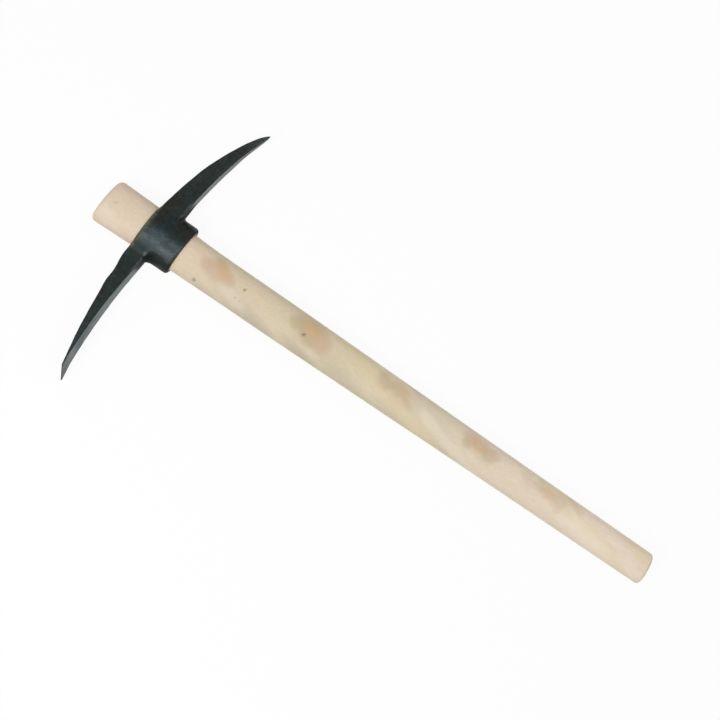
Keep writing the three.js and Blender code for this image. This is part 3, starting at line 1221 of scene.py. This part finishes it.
    def _bow(self, bench: Bench, swing: Feed, half: Feed, radial: Feed, fullness: Feed) -> Socket:
        """Bend a swing round the oval into a place on it.

        Args:
            bench: The tree's bench.
            swing: The cosine or sine of the angle.
            half: Half the oval's size on that axis.
            radial: 0 in the middle of a sawn end, 1 at its edge and beyond.
            fullness: The oval's fullness.

        Returns:
            The place on that axis.
        """
        full = bench.sum("POWER", bench.sum("ABSOLUTE", swing), bench.sum("DIVIDE", 2.0, fullness))
        return bench.times(bench.sum("SIGN", swing), full, half, radial)


@dataclass(frozen=True)
class Arm:
    """One arm of the head, drawn out along four laws of its reach."""

    name: str
    direction: int
    reach: float
    fall: float
    root_height: float
    deepest: float
    reach_shares: tuple[float, ...]
    fall_shares: tuple[float, ...]
    height_shares: tuple[float, ...]
    depth_shares: tuple[float, ...]
    root_fillet: float
    worn_length: float = 0.0
    worn_share: float = 0.0


@dataclass
class Surface:
    """The points of the head's mesh in millimetres, and where each lay before it was worked."""

    points: np.ndarray
    first: np.ndarray
    second: np.ndarray
    from_eye: np.ndarray
    side: np.ndarray
    lean: np.ndarray
    below_crown: np.ndarray
    outer: np.ndarray

    @property
    def reach(self) -> np.ndarray:
        """Give the distance from the eye's middle."""
        return np.abs(self.side)

    def by_arm(self, point: np.ndarray | float, chisel: np.ndarray | float) -> np.ndarray:
        """Take one value on the pointed arm's side and another on the chisel's."""
        return np.where(self.side > 0, point, chisel)

    def neighbours(self, values: np.ndarray) -> np.ndarray:
        """Average each point's neighbours along the mesh's edges.

        Args:
            values: Three numbers for each point.

        Returns:
            The averages.
        """
        count = len(values)
        degree = np.bincount(self.first, minlength=count) + np.bincount(self.second, minlength=count)
        total = [
            np.bincount(self.first, part[self.second], count)
            + np.bincount(self.second, part[self.first], count)
            for part in values.T
        ]
        return np.stack(total, -1) / degree[:, None]

    def ease(self, share: np.ndarray, passes: int) -> None:
        """Move points towards their neighbours' middle.

        Args:
            share: How far each goes.
            passes: How often.
        """
        for _ in range(passes):
            self.points += (self.neighbours(self.points) - self.points) * share[:, None]


@dataclass(frozen=True)
class Marks:
    """Where the head's surface changes, and how much.

    Each span runs in millimetres or shares, from where there is no effect to where there is the full one.
    """

    eye_margin: Span = (1.5, 4.0)
    crown_margin: Span = (2.0, 7.0)
    rim_margin: Span = (2.0, 6.0)
    root_rise: Span = (16.0, 24.0)
    root_fall: Span = (66.0, 50.0)
    tip_sharp: Span = (55.0, 80.0)
    tip_kept: float = 0.7
    ease_share: float = 0.5
    ease_passes: int = 4
    point_tip: Span = (44.0, 8.0)
    chisel_tip: Span = (22.0, 4.0)
    tip_bare: float = 0.6
    tip_rubbed: float = 0.5
    # The painted highlight near the pointed arm's root, and the painted line along both roots' inner edges.
    root_edge_light: float = 0.9
    edge_light_rise: Span = (36.0, 44.0)
    edge_light_fall: Span = (66.0, 56.0)
    edge_sharp: Span = (0.05, 0.2)
    edge_worn: float = 0.2
    edge_facing: Span = (0.12, 0.3)
    line_sharp: Span = (0.01, 0.032)
    line_rise: Span = (32.0, 40.0)
    line_fall: Span = (68.0, 54.0)
    line_clean: float = 0.8
    # Where the cheeks' painted highlight lies: high beside the handle, and low on the collar by the rim.
    cheek_rise: Span = (16.0, 22.0)
    rub_highlight_point: Span = (15.0, -3.0)
    rub_highlight_chisel: Span = (-22.0, -4.0)
    low_highlight_rim: Span = (17.0, 5.0)
    low_highlight_point: Span = (6.0, -6.0)
    low_highlight_chisel: Span = (-30.0, -20.0)
    low_highlight_share: float = 0.55
    # Where the painted shade lies: steep flanks, faces turned under, the recess, the inner faces and the
    # chisel's outer reach.
    steep: Span = (0.96, 0.8)
    under: Span = (0.3, 0.8)
    point_wall: float = 0.25
    wall_fade: Span = (94.0, 114.0)
    wall_faded: float = 0.75
    point_fade: Span = (68.0, 48.0)
    chisel_fade: Span = (62.0, 47.0)
    recess: Span = (107.0, 97.0)
    recess_shift: float = 3.5
    flank_rise: Span = (20.0, 27.0)
    painted_shade_rise: Span = (78.0, 86.0)
    inner_rise: Span = (40.0, 56.0)
    point_cool: float = 0.15
    point_inner: float = 0.05
    chisel_inner: float = 0.09
    far_shade_rise: Span = (105.0, 150.0)
    far_shade_share: float = 0.3
    far_shade_spared: float = 0.24
    scale_rise: Span = (17.0, 24.0)
    scale_fall: Span = (44.0, 34.0)
    scale_depth: Span = (92.0, 86.0)
    rust_middle: float = 0.6
    rust_width: Span = (2.4, 0.4)
    rust_eye: Span = (6.0, 2.0)
    # The painted reflection of the wood: a band along the crown's edge, a little wider on the pointed arm's
    # side.
    reflection_width: float = 6.5
    reflection_widened: float = 1.5
    wide_rise: Span = (0.0, 8.0)
    wide_fall: Span = (26.0, 18.0)
    reflection_edge: Span = (1.0, 0.15)
    reflection_fall: Span = (42.0, 30.0)


@dataclass
class PickHead:
    """The one-piece forging: an oval eye with a collar, a pointed arm and a chisel arm."""

    crown_station: float = 67.7
    rim_station: float = 128.5
    fit_gap: float = 0.3
    tilt: float = math.radians(2.8)
    eye_centre: float = 1.0
    collar_width: float = 77.5
    collar_depth: float = 54.5
    cheek_depth: float = 54.0
    collar_fullness: float = 2.05
    crown_proud: float = 0.7
    crown_edge: float = 3.0
    rim_edge: float = 2.8
    rim_flank_edge: float = 5.0
    overrun: float = 12.0
    rim_draw: float = 0.6
    root_blend: float = 8.0
    root_sunk: float = 0.5
    corner: float = 3.0
    corner_share: float = 0.18
    ring_step: float = 1.2
    oval_sides: int = 160
    corner_steps: int = 8
    underside_steps: int = 24
    rounding_steps: int = 12
    grain: float = 0.62
    kept_faces: int = 190000
    hammered: float = 0.45
    hammer_marks: tuple[Span, ...] = ((15.0, 0.36), (6.5, 0.3))
    marks: Marks = Marks()
    point: Arm = Arm(
        name="pointed arm", direction=1, reach=200.5, fall=69.9, root_height=32.3, deepest=36.4,
        reach_shares=(0.06, 0.15, 0.235, 0.317, 0.439, 0.561, 0.686, 0.808, 0.898, 0.973, 1),
        fall_shares=(0.24, 0.262, 0.294, 0.329, 0.4, 0.485, 0.598, 0.723, 0.84, 0.953, 1),
        height_shares=(1.035, 1.006, 0.956, 0.885, 0.815, 0.73, 0.602, 0.459, 0.353, 0.183, 0.04),
        depth_shares=(1, 1, 1, 0.96, 0.91, 0.905, 0.825, 0.605, 0.43, 0.2, 0.03),
        root_fillet=5.0,
    )
    chisel: Arm = Arm(
        name="chisel arm", direction=-1, reach=242.0, fall=18.9, root_height=26.3, deepest=49.0,
        reach_shares=(0.05, 0.12, 0.2, 0.3, 0.36, 0.43, 0.53, 0.66, 0.8, 0.9, 0.94, 1),
        fall_shares=(0.72, 0.575, 0.482, 0.467, 0.396, 0.395, 0.422, 0.488, 0.633, 0.777, 0.838, 0.926),
        height_shares=(1.07, 1.02, 0.99, 0.793, 0.777, 0.667, 0.518, 0.369, 0.178, 0.074, 0.08, 0.08),
        depth_shares=(0.79, 0.79, 0.8, 0.89, 0.905, 0.94, 0.985, 1, 1, 1, 1, 1),
        root_fillet=8.5, worn_length=24.5, worn_share=0.96,
    )

    def _cheek(self, away: float) -> float:
        """Give half the collar's depth at a distance from the eye's middle."""
        share = min(away / (self.collar_width / 2), 1.0) ** self.collar_fullness
        return min(self.collar_depth / 2 * (1 - share) ** (1 / self.collar_fullness), self.cheek_depth / 2)

    def _wall(self, deep: np.ndarray) -> np.ndarray:
        """Give half the collar's width at each depth."""
        share = np.minimum(np.abs(deep) / (self.collar_depth / 2), 1.0) ** self.collar_fullness
        return self.collar_width / 2 * (1 - share) ** (1 / self.collar_fullness)

    def _swollen(self, away: float, half_deep: float) -> float:
        """Let an arm's half depth swell out of the collar's own oval, just under its surface.

        Args:
            away: The distance from the eye's middle.
            half_deep: The arm's own half depth there.

        Returns:
            The swollen half depth.
        """
        cheek = self._cheek(away) - self.root_sunk
        closeness = max(1 - abs(cheek - half_deep) / self.root_blend, 0.0)
        return max(cheek, half_deep) + self.root_blend * closeness**2 / 4

    def _arm_ring(self, arm: Arm, reach: float, laws: Sequence[Law]) -> np.ndarray:
        """Give an arm's section at a reach, a rounded oblong with the root fillet on its underside.

        Args:
            arm: The arm.
            reach: How far out it is.
            laws: The laws of its fall, height and depth.

        Returns:
            The section's points.
        """
        fall, height, depth = (float(law(reach)) for law in laws)
        away = reach - arm.direction * self.eye_centre
        half_deep = self._swollen(away, depth / 2)
        worn = max(0.0, 1 - (arm.reach - reach) / arm.worn_length) if arm.worn_length else 0.0
        near = half_deep - arm.worn_share * arm.deepest * worn
        half_x, half_z = height / 2, (near + half_deep) / 2
        corner = min(self.corner, half_x * 2 * self.corner_share, half_z * 2 * self.corner_share)
        across, deep, is_under = [], [], []
        for quarter, (sign_x, sign_z) in enumerate(((1, 1), (-1, 1), (-1, -1), (1, -1))):
            turns = (quarter + np.linspace(0.0, 1.0, self.corner_steps + 1)) * math.pi / 2
            across.append(sign_x * (half_x - corner) + corner * np.cos(turns))
            deep.append(sign_z * (half_z - corner) + corner * np.sin(turns))
            is_under.append(np.full(len(turns), sign_x > 0))
        flat = np.linspace(corner - half_z, half_z - corner, self.underside_steps + 1)[1:-1]
        across.append(np.full(len(flat), half_x))
        deep.append(flat)
        is_under.append(np.full(len(flat), True))
        z = np.concatenate(deep) + (near - half_deep) / 2
        fillet = quarter_inset(arm.root_fillet, away - self._wall(z))
        fillet = np.where(np.concatenate(is_under), fillet, 0.0)
        x = np.concatenate(across) + self.crown_station + fall + fillet
        ring = np.stack((x, np.full(len(x), arm.direction * reach), z), -1)
        return ring[::-1] if arm.direction > 0 else ring

    def _make_arm(self, arm: Arm) -> bpy.types.Object:
        """Draw one arm out of the head.

        Args:
            arm: The arm.

        Returns:
            The arm's solid.
        """
        reaches = tuple(share * arm.reach for share in arm.reach_shares)
        laws = [
            Law(reaches, tuple(share * size for share in shares))
            for shares, size in (
                (arm.fall_shares, arm.fall),
                (arm.height_shares, arm.root_height),
                (arm.depth_shares, arm.deepest),
            )
        ]
        count = int((arm.reach - reaches[0]) / self.ring_step)
        steps = np.linspace(reaches[0], arm.reach, count)
        return loft([self._arm_ring(arm, float(reach), laws) for reach in steps], arm.name)

    def _make_collar(self) -> bpy.types.Object:
        """Make the collar round the eye, flat on its cheeks.

        Returns:
            The collar's solid.
        """
        section = oval(self.oval_sides, self.collar_width / 2, self.collar_depth / 2, self.collar_fullness)
        section[:, 1] = np.clip(section[:, 1], -self.cheek_depth / 2, self.cheek_depth / 2)
        turns = np.linspace(0.0, math.pi / 2, self.rounding_steps)
        top = self.crown_station - self.crown_proud
        to_flank = (section[:, 0] / (self.collar_width / 2)) ** 2
        rim_edge = self.rim_edge + (self.rim_flank_edge - self.rim_edge) * to_flank
        places = [
            (top + self.crown_edge * (1 - math.cos(turn)), self.crown_edge * (1 - math.sin(turn)), 0.0)
            for turn in turns
        ]
        places += [
            (
                self.rim_station - rim_edge * (1 - math.cos(turn)),
                rim_edge * (1 - math.sin(turn)),
                self.rim_draw,
            )
            for turn in turns[::-1]
        ]
        rings = []
        for station, rounding, draw in places:
            across = section[:, 0] * (1 - (rounding + draw) / (self.collar_width / 2))
            deep = section[:, 1] * (1 - rounding / (self.collar_depth / 2))
            along = station + math.tan(self.tilt) * section[:, 0]
            rings.append(np.stack((along, self.eye_centre + across, deep), -1))
        return loft(rings, "collar")

    def make(self, handle: Handle, finish: bpy.types.Material) -> bpy.types.Object:
        """Forge the head as one piece and punch its eye to the handle's taper.

        Args:
            handle: The handle that it jams on.
            finish: The coated steel.

        Returns:
            The head.
        """
        collar = self._make_collar()
        arms = [self._make_arm(self.point), self._make_arm(self.chisel)]
        places = (
            self.crown_station - self.overrun, self.crown_station,
            self.rim_station, self.rim_station + self.overrun,
        )
        punch = loft([handle.ring(place, self.fit_gap, self.oval_sides) for place in places], "eye punch")
        for tool, operation in ((arms[0], "UNION"), (arms[1], "UNION"), (punch, "DIFFERENCE")):
            joining = collar.modifiers.new(tool.name, "BOOLEAN")
            joining.object = tool
            joining.operation = operation
            joining.solver = "MANIFOLD"
        skin = collar.modifiers.new("skin", "REMESH")
        skin.mode = "VOXEL"
        skin.voxel_size = self.grain * MM
        skin.use_smooth_shade = True
        mesh = plain_mesh(collar, "forged_head")
        for helper in (*arms, punch):
            discard(helper)
        self._work_surface(mesh, handle)
        mesh.materials.clear()
        mesh.materials.append(finish)
        worked = show("worked head", mesh)
        thinning = worked.modifiers.new("thinning", "DECIMATE")
        thinning.ratio = self.kept_faces / (2 * len(mesh.polygons))
        return show("forged_head", plain_mesh(worked, "forged_head"))

    def _work_surface(self, mesh: bpy.types.Mesh, handle: Handle) -> None:
        """Blend the roots, leave the hammer's marks, and note where the coat is worn and where shade,
        highlights and the wood's reflection are painted.

        Args:
            mesh: The head's mesh.
            handle: The handle in its eye.
        """
        surface = self._survey(mesh, handle)
        marks, reach = self.marks, surface.reach
        above_rim = smooth_step(marks.rim_margin, self.rim_station - surface.points[:, 0] + surface.lean)
        inside = smooth_step(marks.crown_margin, surface.below_crown) * above_rim
        root = band(marks.root_rise, marks.root_fall, reach) * surface.outer * inside
        surface.ease(marks.ease_share * root, marks.ease_passes)
        kept = 1 - marks.tip_kept * smooth_step(marks.tip_sharp, reach)
        surface.ease(marks.ease_share * surface.outer * kept, marks.ease_passes)
        normals = self._normals(mesh, surface.points)
        dents = np.array([self._hammer(place) for place in surface.points])
        surface.points -= normals * (dents * self.hammered * surface.outer)[:, None]
        bulge = surface.points - surface.neighbours(surface.neighbours(surface.points))
        sharp = np.einsum("ij,ij->i", bulge, normals)
        line = self._root_highlight_line(surface, normals, sharp)
        notes = {
            "edge_wear_and_highlight": self._wear(surface, sharp, line),
            "cheek_rub_and_highlight": self._rub_and_highlight(surface),
            **self._painted_shade(surface, normals, line),
            **self._edges(surface),
        }
        low, high = (np.array(corner) / MM - TOOL_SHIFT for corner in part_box("pick_head"))
        kept_points = np.clip(surface.points, low, high)
        mesh.vertices.foreach_set("co", ((kept_points + TOOL_SHIFT) * MM).astype(np.float32).ravel())
        for name, values in notes.items():
            mesh.attributes.new(name, "FLOAT", "POINT").data.foreach_set("value", values.astype(np.float32))
        mesh.update()

    def _survey(self, mesh: bpy.types.Mesh, handle: Handle) -> Surface:
        """Measure where each point of the mesh lies on the head.

        Args:
            mesh: The head's mesh.
            handle: The handle in its eye.

        Returns:
            The surface.
        """
        flat = np.empty(len(mesh.vertices) * 3, np.float32)
        mesh.vertices.foreach_get("co", flat)
        points = flat.reshape(-1, 3).astype(float) / MM - TOOL_SHIFT
        ends = np.empty(len(mesh.edges) * 2, np.int32)
        mesh.edges.foreach_get("vertices", ends)
        first, second = ends.reshape(-1, 2).T
        across = points[:, 1] - handle.middle(points[:, 0])
        half_across = handle.width(points[:, 0]) / 2 + self.fit_gap
        half_deep = handle.depth(points[:, 0]) / 2 + self.fit_gap
        full = handle.fullness
        ratio = np.abs(across / half_across) ** full + np.abs(points[:, 2] / half_deep) ** full
        from_eye = (ratio ** (1 / full) - 1) * np.minimum(half_across, half_deep)
        side = points[:, 1] - self.eye_centre
        lean = math.tan(self.tilt) * side
        below_crown = points[:, 0] - lean - self.crown_station
        outer = smooth_step(self.marks.eye_margin, from_eye)
        return Surface(points, first, second, from_eye, side, lean, below_crown, outer)

    def _root_highlight_line(self, surface: Surface, normals: np.ndarray, sharp: np.ndarray) -> np.ndarray:
        """Find the painted highlight line on the inner edges of both roots, where they catch the light, 0
        to 1.
        """
        marks = self.marks
        facing = smooth_step(marks.edge_facing, normals[:, 0])
        facing = facing * smooth_step(marks.edge_facing, normals[:, 2])
        near_root = band(marks.line_rise, marks.line_fall, surface.reach) * surface.outer
        return smooth_step(marks.line_sharp, sharp) * facing * near_root

    def _wear(self, surface: Surface, sharp: np.ndarray, line: np.ndarray) -> np.ndarray:
        """Rub the coat off the sharp edges and the pointed tip, and paint highlights along the roots' inner
        edges.

        Args:
            surface: The head's surface.
            sharp: How sharp it is at each point.
            line: The painted highlight line of the roots.

        Returns:
            The wear and the painted highlight, 0 to 1.
        """
        marks, reach = self.marks, surface.reach
        to_tip = surface.by_arm(self.point.reach, self.chisel.reach) - reach
        tips = surface.by_arm(smooth_step(marks.point_tip, to_tip), smooth_step(marks.chisel_tip, to_tip))
        # The pointed tip's real rub, plus the painted highlight on its root's inner edge.
        near_root = marks.root_edge_light * band(marks.edge_light_rise, marks.edge_light_fall, reach)
        rubbed_and_lit = surface.by_arm(marks.tip_rubbed * tips + near_root, 0.0)
        bare = surface.by_arm(marks.tip_bare, 0.0) * tips
        wear = smooth_step(marks.edge_sharp, sharp) * (marks.edge_worn + rubbed_and_lit) + bare + line
        return np.clip(wear, 0.0, 1.0)

    def _rub_and_highlight(self, surface: Surface) -> np.ndarray:
        """Paint a pale highlight on the cheeks beside the handle, partly a rubbed coat, and another low on
        the collar by the rim, 0 to 1.
        """
        marks = self.marks
        cheeks = smooth_step(marks.cheek_rise, np.abs(surface.points[:, 2])) * surface.outer
        to_rim = self.rim_station - surface.points[:, 0] + surface.lean
        high = band(marks.rub_highlight_point, marks.rub_highlight_chisel, surface.side)
        low = band(marks.low_highlight_point, marks.low_highlight_chisel, surface.side)
        low = low * smooth_step(marks.low_highlight_rim, to_rim)
        return np.maximum(high, marks.low_highlight_share * low) * cheeks

    def _painted_shade(self, surface: Surface, normals: np.ndarray, line: np.ndarray) -> dict[str, np.ndarray]:
        """Paint shade into the recesses, on the steep flanks, on the inner faces and on the chisel's outer
        reach, and cool the chisel's inner face.

        Args:
            surface: The head's surface.
            normals: Its normals.
            line: The painted highlight line of the roots, where less painted shade goes.

        Returns:
            Both notes by name.
        """
        marks, reach, along = self.marks, surface.reach, surface.points[:, 0]
        steep = smooth_step(marks.steep, np.abs(normals[:, 2]))
        under = smooth_step(marks.under, normals[:, 0])
        walls = surface.by_arm(marks.point_wall, 1 - marks.wall_faded * smooth_step(marks.wall_fade, along))
        fading = surface.by_arm(smooth_step(marks.point_fade, reach), smooth_step(marks.chisel_fade, reach))
        recess = surface.by_arm(0.0, smooth_step(marks.recess, along))
        flanks = smooth_step(marks.flank_rise, reach + marks.recess_shift * recess) * fading * surface.outer
        # Painted shade on the steep flanks and in the recess below the chisel's root.
        painted_shade = flanks * steep * smooth_step(marks.painted_shade_rise, along) * (under + (1 - under) * walls)
        inner_face = under * smooth_step(marks.inner_rise, reach)
        inner = inner_face * surface.by_arm(marks.point_inner, marks.chisel_inner)
        # Painted shade on the chisel's outer reach, less of it on its inner face.
        far_shade = surface.by_arm(0.0, marks.far_shade_share - marks.far_shade_spared * under)
        painted_shade = np.clip(painted_shade + inner + far_shade * smooth_step(marks.far_shade_rise, reach), 0.0, 1.0)
        return {
            "painted_flank_shade": painted_shade * (1 - marks.line_clean * line),
            "cool_face": inner_face * surface.by_arm(marks.point_cool, 1.0),
        }

    def _edges(self, surface: Surface) -> dict[str, np.ndarray]:
        """Scale the roots, rust the rim and paint the wood's reflection along the crown's edge.

        Args:
            surface: The head's surface.

        Returns:
            The three notes by name.
        """
        marks, reach, along = self.marks, surface.reach, surface.points[:, 0]
        rim_away = np.abs(along - surface.lean - self.rim_station + marks.rust_middle)
        crown_away = np.abs(surface.below_crown + self.crown_proud)
        # Painted reflection of the wood: a band along the crown's edge.
        width = marks.reflection_width + marks.reflection_widened * band(marks.wide_rise, marks.wide_fall, surface.side)
        tint = smooth_step(marks.reflection_edge, crown_away / width) * smooth_step(marks.reflection_fall, reach)
        scaled = band(marks.scale_rise, marks.scale_fall, reach)
        rusty = smooth_step(marks.rust_width, rim_away)
        return {
            "root_scale": scaled * smooth_step(marks.scale_depth, along),
            "rim_rust": rusty * smooth_step(marks.rust_eye, surface.from_eye),
            "crown_wood_reflection": tint * surface.outer,
        }

    def _hammer(self, place: np.ndarray) -> float:
        """Tell how deep the hammer left the surface at a place, 0 to 1."""
        spot = Vector(place)
        return 0.5 + sum(share * noise.noise(spot / size) for size, share in self.hammer_marks)

    def _normals(self, mesh: bpy.types.Mesh, points: np.ndarray) -> np.ndarray:
        """Give each vertex's normal after a move.

        Args:
            mesh: The mesh.
            points: Its points in millimetres.

        Returns:
            The normals.
        """
        mesh.vertices.foreach_set("co", ((points + TOOL_SHIFT) * MM).astype(np.float32).ravel())
        mesh.update()
        flat = np.empty(len(mesh.vertices) * 3, np.float32)
        mesh.vertex_normals.foreach_get("vector", flat)
        return flat.reshape(-1, 3).astype(float)


@dataclass(frozen=True)
class Panel:
    """A soft light that hangs in the studio."""

    name: str
    place: Triple
    target: Triple
    size: Span
    power: float

    def hang(self) -> None:
        """Hang the light and point it at its target."""
        lamp = bpy.data.lights.new(self.name, "AREA")
        lamp.shape = "RECTANGLE"
        lamp.size, lamp.size_y = self.size
        lamp.energy = self.power
        holder = bpy.data.objects.new(self.name, lamp)
        holder.location = self.place
        direction = Vector(self.target) - Vector(self.place)
        holder.rotation_euler = direction.to_track_quat("-Z", "Y").to_euler()
        bpy.context.scene.collection.objects.link(holder)


@dataclass
class Studio:
    """A pale floor, soft lights and the camera straight above the tool."""

    floor_side: float = 16.0
    sky: float = 0.4
    sky_tilt: float = 0.5
    panels: tuple[Panel, ...] = (
        Panel("soft panel", (-0.67, -1.39, 2.0), (-0.67, -1.39, 0.0), (0.6, 1.82), 39.5),
        Panel("fill panel", (0.9, 0.8, 2.1), (0.3, 0.0, 0.03), (1.8, 1.8), 12.0),
    )
    camera_place: Triple = (-0.03646, 0.03718, 1.947)
    camera_turn: float = math.radians(34.4)
    picture_width: float = 0.9907
    camera_height: float = 1.92
    sensor: float = 36.0

    def build(self) -> None:
        """Lay the floor, hang the lights and set the camera."""
        self._floor()
        self._sky()
        for panel in self.panels:
            panel.hang()
        self._camera()

    def _floor(self) -> None:
        """Lay the white sheet that the tool lies on."""
        half = self.floor_side / 2
        corners = [(-half, -half, 0.0), (half, -half, 0.0), (half, half, 0.0), (-half, half, 0.0)]
        mesh = bpy.data.meshes.new("studio_floor")
        mesh.from_pydata(corners, [], [(0, 1, 2, 3)])
        mesh.materials.append(FloorFinish().build())
        show("studio_floor", mesh)

    def _sky(self) -> None:
        """Light the room evenly, and show it white where it is seen."""
        world = bpy.data.worlds.new("studio room")
        bpy.context.scene.world = world
        world.use_nodes = True
        world.node_tree.nodes.clear()
        bench = Bench(world.node_tree)
        seen = seen_as_background(bench)
        toward = bench.parts(bench.add("ShaderNodeNewGeometry").outputs["Position"])
        strength = bench.times(bench.plus(bench.times(toward[1], self.sky_tilt), 1.0), self.sky)
        dim = bench.add("ShaderNodeBackground", {"Color": WHITE, "Strength": strength}).outputs[0]
        bright = bench.add("ShaderNodeBackground", {"Color": WHITE, "Strength": 1.0}).outputs[0]
        mixed = bench.add("ShaderNodeMixShader", {0: seen, 1: dim, 2: bright}).outputs[0]
        bench.add("ShaderNodeOutputWorld", {"Surface": mixed})

    def _camera(self) -> None:
        """Set the camera straight above, turned as the photograph is."""
        data = bpy.data.cameras.new("camera")
        data.sensor_width = self.sensor
        data.sensor_fit = "HORIZONTAL"
        data.lens = self.sensor * self.camera_height / self.picture_width
        camera = bpy.data.objects.new("camera", data)
        camera.location = self.camera_place
        camera.rotation_euler = Euler((0.0, 0.0, self.camera_turn))
        bpy.context.scene.collection.objects.link(camera)
        bpy.context.scene.camera = camera


def mount(piece: bpy.types.Object, body: Body, node: str) -> None:
    """Let a finished piece stand for its solid and report it.

    Args:
        piece: The piece.
        body: The body it rides on.
        node: The solid that it stands for.
    """
    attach(piece, body.value)
    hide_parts(node)
    LOG.info("%s: %d faces on body %s", piece.name, len(piece.data.polygons), body.value)


def main() -> None:
    """Build the studio, the handle and the head."""
    logging.basicConfig(level=logging.INFO, format="%(name)s: %(message)s")
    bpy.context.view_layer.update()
    bpy.context.scene.view_settings.view_transform = "Standard"
    Studio().build()
    handle = Handle()
    mount(handle.make(WoodFinish().build()), Body.HANDLE, "handle")
    head = PickHead()
    mount(head.make(handle, ForgedFinish().build()), Body.HEAD, "pick_head")
    bpy.context.view_layer.update()


if __name__ == "__main__":
    main()
